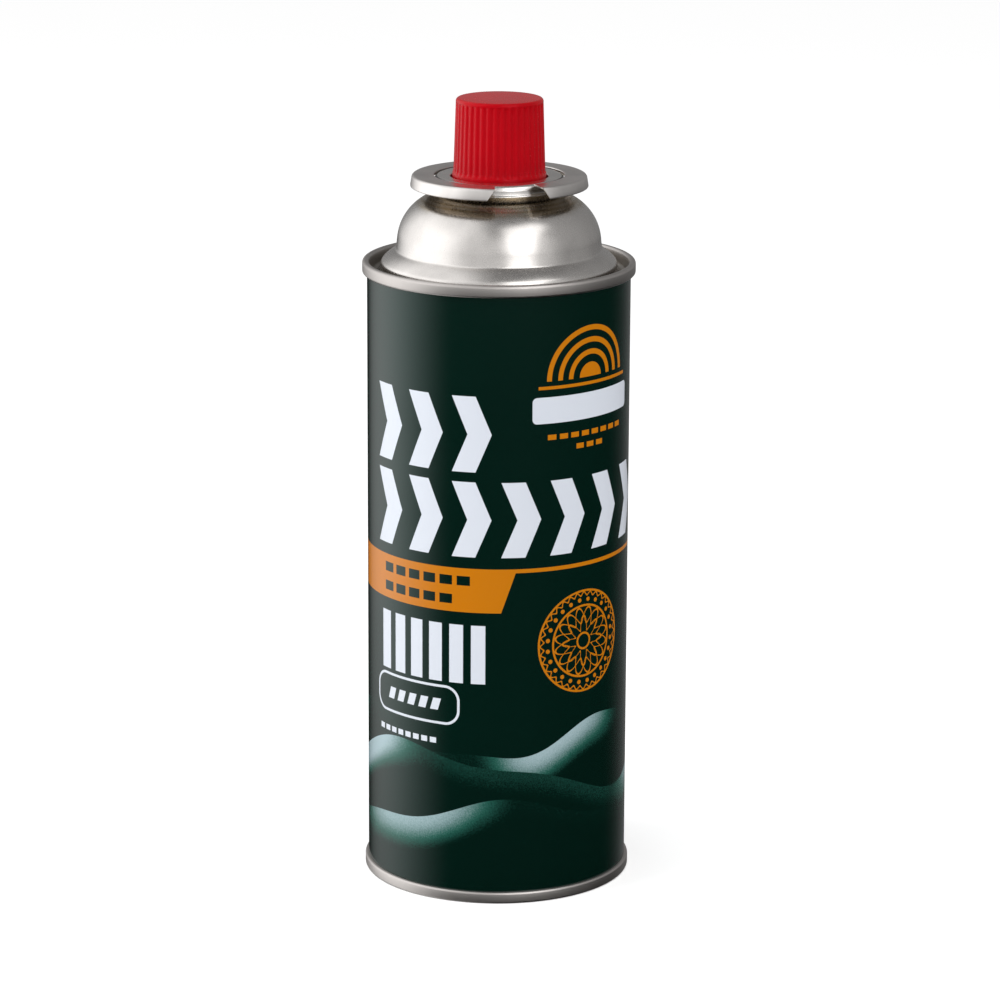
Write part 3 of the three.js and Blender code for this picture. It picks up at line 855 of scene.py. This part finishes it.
def seal_print(label):
    """A generic rosette: rings, a ring of dots and two flowers of fine lines."""
    ds, dv = label.across(SEAL_S, SEAL_V)
    radius = hypot(ds, dv)
    angle = ds.math("ARCTAN2", dv)
    fine = 0.26
    rings = [abs(radius - r) - fine for r in (12.9, 9.1, 2.0)]
    scallops = abs(radius - (angle * 36).cos() * 0.45 - 12.1) - fine * 0.8
    dot_turn = (angle * (24 / TAU)).wrap(1.0) - 0.5
    dots = hypot(dot_turn * (10.6 * TAU / 24), radius - 10.6) - 0.55
    flowers = []
    for petals, reach, swing, phase in ((8, 6.6, 2.0, 0.0), (8, 6.6, 2.0, math.pi), (8, 4.6, 1.8, 1.6)):
        line = radius - ((angle * petals) + phase).sin() * swing - reach
        flowers.append(abs(line) - fine)
    return union([part.inside(0.12) for part in (*rings, scallops, dots, *flowers)])


def hills(label, tree, base):
    """Rolling hills in three layers, each pale at its crest and fading into the ground colour."""
    grain = noise(tree, 3200, 2.0, 0.7)
    colour = base
    layers = (
        (front(35), 42.0, 4.5, 13.0, 0.3, 0.8),
        (front(-20), 33.0, 6.0, 19.0, 2.1, 1.1),
        (front(60), 21.0, 5.0, 17.0, 3.4, 0.74),
    )
    for start, height, swing, length, phase, strength in layers:
        ds = label.s - start
        wave = (ds * (1 / length) + phase).sin() * swing
        ripple = (ds * (2.7 / length) + phase * 2).sin() * (swing * 0.25)
        depth = wave + ripple + height - label.v
        body = (-depth).inside()
        lit = (ds * (1 / length) + phase).cos().ramp(-0.2, 1.0, 0.25, 1.0)
        fade = depth.ramp(0.0, 13.0, 1.0, 0.0)
        speckled = (fade * lit * strength * 1.3 - grain * 0.42).math("ADD", 0.0, clamp=True)
        slope = mix(tree, speckled.ramp(0.0, 0.45), GREEN, TEAL)
        colour = mix(tree, body, colour, mix(tree, speckled.ramp(0.3, 0.95), slope, MIST))
    return colour


def back_panel(label):
    """The printed panel on the back: an outlined field with two columns of plain fine rules."""
    ds, dv = label.across(PANEL_S, PANEL_V)
    rules = abs(dv.wrap(3.0) - 1.5) - 0.42
    columns = abs(abs(ds) - 12.8) - 11.0
    field = rules.most(columns).most(abs(dv) - 22.5)
    outline = abs((abs(ds) - 27.0).most(abs(dv) - 26.0)) - 0.3
    return union([field.inside(), outline.inside()])


def weld(label):
    """Distance from the middle of the wall's side weld, which runs up its back."""
    ahead = label.s - WELD_S
    return ahead.least(-ahead + ROUND)


def printed_lacquer():
    """The wall's gloss lacquer over its print."""
    made, tree, shader = material("printed_lacquer")
    label = Label(tree)
    ground = mix(tree, noise(tree, 40, 2.0), GREEN, tuple(c * 1.15 for c in GREEN))
    colour = hills(label, tree, ground)
    colour = mix(tree, orange_print(label), colour, ORANGE)
    colour = mix(tree, white_print(label).most(back_panel(label)), colour, WHITE)
    colour = mix(tree, (weld(label) - MARGIN_HALF_WIDTH).inside(), colour, BARE_MARGIN)
    colour = mix(tree, (weld(label) - WELD_HALF_WIDTH).inside(0.2), colour, WELD_GREY)
    tree.links.new(colour, shader.inputs["Base Color"])
    orange_peel = noise(tree, 350, 2.0)
    dust = noise(tree, 1800, 3.0, 0.7)
    tree.links.new((dust * 0.10 + 0.11).socket, shader.inputs["Roughness"])
    shader.inputs["Specular IOR Level"].default_value = 0.42
    shader.inputs["Specular Tint"].default_value = (*LACQUER_SHEEN, 1.0)
    bump(tree, shader, orange_peel * 0.8 + dust * 0.2, 0.10, 0.00003)
    return made


# Studio

FLOOR_LIFT = 0.42
FLOOR_REACH = 3.0
SOFT_LEVEL = 0.55
LIGHT_HEIGHT = 0.1


def around(azimuth, elevation, distance):
    """A point round the can, with the azimuth counted rightwards from the camera."""
    angle = azimuth * RAD + VIEW_AZIMUTH
    rise = elevation * RAD
    flat = distance * math.cos(rise)
    height = LIGHT_HEIGHT + distance * math.sin(rise)
    return Vector((flat * math.sin(angle), -flat * math.cos(angle), height))


def softbox(name, azimuth, elevation, distance, width, height, radiance):
    """A soft lamp; gloss shows the room in its place."""
    data = bpy.data.lights.new(name, "AREA")
    data.shape = "RECTANGLE"
    data.size = width
    data.size_y = height
    data.energy = radiance * math.pi * width * height
    lamp = bpy.data.objects.new(name, data)
    bpy.context.scene.collection.objects.link(lamp)
    lamp.location = around(azimuth, elevation, distance)
    aim = Vector((0, 0, LIGHT_HEIGHT)) - lamp.location
    lamp.rotation_euler = aim.to_track_quat("-Z", "Y").to_euler()
    lamp.visible_glossy = False


def room_level(right, away, rise):
    """The room that gloss sees, by direction: a lit side, a tall window, a dim front and ceiling."""
    bearing = right.math("ARCTAN2", -away) * (1 / RAD)
    below = rise.ramp(-0.10, -0.165)
    above = below * -1 + 1.0
    high = rise.ramp(0.42, 0.85)
    ceiling = right.ramp(-0.42, -0.02, 1.1, 0.22) + right.ramp(0.3, 0.7) * 0.1
    window = (right + rise * 0.15).ramp(0.14, 0.26) * right.ramp(0.70, 0.56) * away.ramp(0.0, -0.2)
    window = window * rise.ramp(-0.06, 0.04) * rise.ramp(0.955, 0.87)
    left_panel = bearing.ramp(-28, -68) * bearing.ramp(-165, -115)
    ahead = bearing.ramp(-60, -25) * bearing.ramp(84, 50)
    around_level = abs(bearing).ramp(80, 160, 0.38, 0.24)
    upper = left_panel * 1.2 + ahead * 0.40 + around_level
    upper = upper * (high * -1 + 1.0) + ceiling * high + window * 1.6
    deep = rise.ramp(-0.24, -0.34)
    left_low = bearing.ramp(-40, -100) * bearing.ramp(-165, -100) * (deep * -0.5 + 1.0)
    lower = left_low * 2.0 + bearing.ramp(110, 160) * 0.16 + 0.012
    return upper * above + lower * below


def backdrop_world():
    """White to the camera, the room to gloss, and an even soft level to everything else."""
    world = bpy.data.worlds.new("studio")
    bpy.context.scene.world = world
    world.use_nodes = True
    tree = world.node_tree
    tree.nodes.clear()
    coordinates = tree.nodes.new("ShaderNodeTexCoord")
    turn = tree.nodes.new("ShaderNodeMapping")
    turn.vector_type = "POINT"
    turn.inputs["Rotation"].default_value = (0, 0, -VIEW_AZIMUTH)
    tree.links.new(coordinates.outputs["Generated"], turn.inputs["Vector"])
    separate = tree.nodes.new("ShaderNodeSeparateXYZ")
    tree.links.new(turn.outputs["Vector"], separate.inputs[0])
    gloss = room_level(*(Wire(tree, out) for out in separate.outputs))
    path = tree.nodes.new("ShaderNodeLightPath")
    seen = Wire(tree, path.outputs["Is Camera Ray"])
    glossy = Wire(tree, path.outputs["Is Glossy Ray"]).most(Wire(tree, path.outputs["Is Transmission Ray"]))
    level = seen + (seen * -1 + 1.0) * (glossy * gloss + (glossy * -1 + 1.0) * SOFT_LEVEL)
    background = tree.nodes.new("ShaderNodeBackground")
    background.inputs["Color"].default_value = (1, 1, 1, 1)
    tree.links.new(level.socket, background.inputs["Strength"])
    output = tree.nodes.new("ShaderNodeOutputWorld")
    tree.links.new(background.outputs[0], output.inputs["Surface"])


def floor_piece():
    """A plain pale floor, white to the camera where no shadow falls."""
    corners = [(FLOOR_REACH * x, FLOOR_REACH * y, 0) for x, y in ((-1, -1), (1, -1), (1, 1), (-1, 1))]
    mesh = bpy.data.meshes.new("floor")
    mesh.from_pydata(corners, [], [(0, 1, 2, 3)])
    floor = bpy.data.objects.new("floor", mesh)
    bpy.context.scene.collection.objects.link(floor)
    made, tree, shader = material("floor_paper")
    fibres = noise(tree, 400, 3.0)
    tree.links.new(mix(tree, fibres, FLOOR_PALE, FLOOR_FIBRE), shader.inputs["Base Color"])
    shader.inputs["Roughness"].default_value = 0.9
    shader.inputs["Specular IOR Level"].default_value = 0.0
    shader.inputs["Emission Color"].default_value = (1, 1, 1, 1)
    seen = Wire(tree, tree.nodes.new("ShaderNodeLightPath").outputs["Is Camera Ray"])
    tree.links.new((seen * FLOOR_LIFT).socket, shader.inputs["Emission Strength"])
    mesh.materials.append(made)
    floor.visible_glossy = False


def camera_piece():
    """The photograph's camera: its side, up and back axes, with a slight roll."""
    data = bpy.data.cameras.new("camera")
    data.sensor_width = SENSOR_MM
    data.lens = LENS_MM
    camera = bpy.data.objects.new("camera", data)
    bpy.context.scene.collection.objects.link(camera)
    side = Vector((math.cos(VIEW_AZIMUTH), math.sin(VIEW_AZIMUTH), 0))
    level_back = Vector((math.sin(VIEW_AZIMUTH), -math.cos(VIEW_AZIMUTH), 0))
    back = level_back * math.cos(VIEW_ELEVATION) + Vector((0, 0, math.sin(VIEW_ELEVATION)))
    up = back.cross(side)
    rolled_side = side * math.cos(VIEW_ROLL) + up * math.sin(VIEW_ROLL)
    rolled_up = up * math.cos(VIEW_ROLL) - side * math.sin(VIEW_ROLL)
    target = side * VIEW_TARGET_RIGHT + Vector((0, 0, VIEW_TARGET_HEIGHT))
    axes = Matrix((rolled_side, rolled_up, back)).transposed().to_4x4()
    camera.matrix_world = Matrix.Translation(target + back * VIEW_DISTANCE) @ axes
    bpy.context.scene.camera = camera


def dress(piece, made, body, slot, *nodes):
    """Give a piece its material and the body that it rides on, and hide the nodes that it replaces; the
    slot is not used.
    """
    piece.data.materials.clear()
    piece.data.materials.append(made)
    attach(piece, body)
    if nodes:
        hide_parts(*nodes)


def build_pieces():
    end_tin = end_tinplate()
    dress(turned("can_wall", wall_profile(), closed=True), printed_lacquer(), "can_body",
          "lacquered_can", "can")
    dress(turned("base_end", base_end_profile()), end_tin, "can_body", "tinplate", "can")
    dress(turned("top_end", top_end_profile(), closed=True), end_tin, "can_body", "tinplate", "can")
    cup = turned("cup_sheet", cup_profile(), closed=True)
    dress(cup, cup_tinplate(), "can_body", "tinplate", "valve_cup")
    collar_tin = tinplate("collar_tinplate", tone=COLLAR_TIN, rough=0.33, grain=0.6)
    dress(collar_piece(), collar_tin, "can_body", "tinplate", "locating_collar")
    natural = plastic("valve_plastic", NATURAL_PLASTIC, NATURAL_PLASTIC_DEEP, 0.42, 900, 0.00002)
    dress(turned("stem_nozzle", stem_profile(), 64), natural, "stem_body", "valve_plastic", "valve_stem")
    red = plastic("cap_plastic", CAP_RED, CAP_RED_DEEP, 0.24, 1500, 0.00001,
                  specular=0.25, tint=CAP_SHEEN)
    dress(cap_piece(), red, "cap_body", "cap_plastic", "cap")
    dress(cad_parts["valve_housing"], natural, "can_body", "valve_plastic")
    seal = rubber()
    for name in ("cup_gasket", "stem_gasket"):
        dress(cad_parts[name], seal, "can_body", "seal_rubber")
    spring = spring_piece()
    wire = tinplate("spring_wire", tone=WIRE_STEEL, rough=0.22)
    dress(spring, wire, "can_body", "spring_steel", "valve_spring")
    kept = 1 - STEM_TRAVEL / (SPRING_HEAD - SPRING_FOOT)
    SPRING_FOOT * MM
    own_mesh(spring)


def build_studio():
    backdrop_world()
    floor_piece()
    softbox("key", -75, 32, 1.1, 0.8, 0.9, 2.45)
    softbox("window", 30, 21, 1.2, 0.7, 0.72, 1.5)
    softbox("top", 10, 78, 1.0, 0.8, 0.8, 1.0)
    bpy.context.scene.view_settings.view_transform = "Standard"


camera_piece()
build_pieces()
build_studio()
